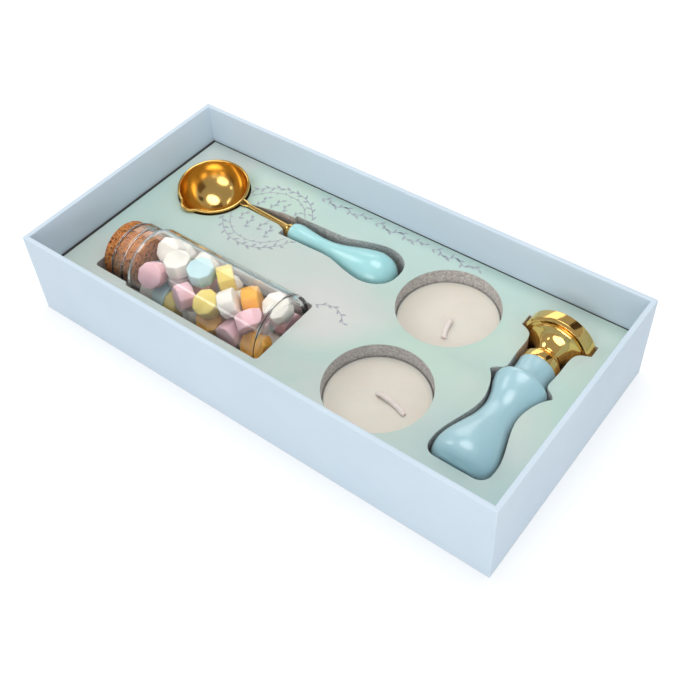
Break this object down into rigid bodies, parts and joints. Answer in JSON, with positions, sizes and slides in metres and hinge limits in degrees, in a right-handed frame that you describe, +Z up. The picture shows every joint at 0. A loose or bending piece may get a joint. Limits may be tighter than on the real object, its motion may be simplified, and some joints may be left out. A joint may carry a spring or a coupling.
{
  "type": "wax seal set box",
  "caption": "Open rigid paper-wrapped box with a cut-out insert that holds a seal stamp, a corked bottle of wax beads, a melting spoon and tea lights.",
  "frame": {"origin": "centre of the box bottom, on the surface it stands on", "axes": "+X along the long side towards the stamp, +Y across the box from the bottle side to the spoon side, +Z up"},
  "size_m": [0.2, 0.1, 0.036],
  "materials": {
    "greyboard": "matte",
    "corner_tape": "matte",
    "box_paper": "matte",
    "base_paper": "matte",
    "liner_paper": "matte",
    "foam": "matte",
    "printed_card": "matte",
    "clear_plastic": "gloss",
    "candle_wax": "satin",
    "cotton": "matte",
    "tinned_steel": "satin",
    "clear_glass": "gloss",
    "cork": "matte",
    "gold_metal": "polished",
    "turquoise_wood": "gloss",
    "pale_blue_wood": "gloss",
    "steel": "satin",
    "wax_white": "satin",
    "wax_pink": "satin",
    "wax_blue": "satin",
    "wax_yellow": "satin",
    "wax_amber": "satin",
    "wax_mauve": "satin"
  },
  "bodies": {
    "box": {"board_floor": "greyboard", "board_wall_front": "greyboard", "board_wall_back": "greyboard", "board_wall_left": "greyboard", "board_wall_right": "greyboard", "corner_tapes": "corner_tape", "wrap_paper": "box_paper", "base_paper": "base_paper", "floor_liner": "liner_paper", "foam_insert": "foam", "top_card": "printed_card"},
    "candle_front": {"candle_front_cup": "clear_plastic", "candle_front_wax": "candle_wax", "candle_front_wick": "cotton", "candle_front_sustainer": "tinned_steel"},
    "candle_back": {"candle_back_cup": "clear_plastic", "candle_back_wax": "candle_wax", "candle_back_wick": "cotton", "candle_back_sustainer": "tinned_steel"},
    "bottle": {"bottle_glass": "clear_glass", "beads_white": "wax_white", "beads_pink": "wax_pink", "beads_blue": "wax_blue", "beads_yellow": "wax_yellow", "beads_amber": "wax_amber", "beads_mauve": "wax_mauve"},
    "cork": {"bottle_cork": "cork"},
    "spoon": {"spoon_bowl": "gold_metal", "spoon_shank": "gold_metal", "spoon_ferrule": "gold_metal", "spoon_handle": "turquoise_wood"},
    "stamp": {"stamp_handle": "pale_blue_wood", "stamp_stud": "steel"},
    "stamp_head": {"stamp_head": "gold_metal"}
  },
  "joints": [
    {"name": "candle_front_lift", "type": "slide", "parent": "box", "child": "candle_front", "axis": [0, 0, 1], "range_m": [0, 0.045]},
    {"name": "candle_back_lift", "type": "slide", "parent": "box", "child": "candle_back", "axis": [0, 0, 1], "range_m": [0, 0.045]},
    {"name": "bottle_lift", "type": "slide", "parent": "box", "child": "bottle", "axis": [0, 0, 1], "range_m": [0, 0.11]},
    {"name": "cork_draw", "type": "slide", "parent": "bottle", "child": "cork", "axis": [-1, 0, 0], "range_m": [0, 0.0125]},
    {"name": "spoon_lift", "type": "slide", "parent": "box", "child": "spoon", "axis": [0, 0, 1], "range_m": [0, 0.05]},
    {"name": "stamp_lift", "type": "slide", "parent": "box", "child": "stamp", "axis": [0, 0, 1], "range_m": [0, 0.05]},
    {"name": "stamp_unscrew", "type": "hinge", "parent": "stamp", "child": "stamp_head", "pos_m": [0.07565, 0.01767, 0.015], "axis": [0, 1, 0], "continuous": true}
  ],
  "couplings": [
    {"joint": "cork_draw", "follows": "bottle_lift", "ratio": 0.11}
  ]
}
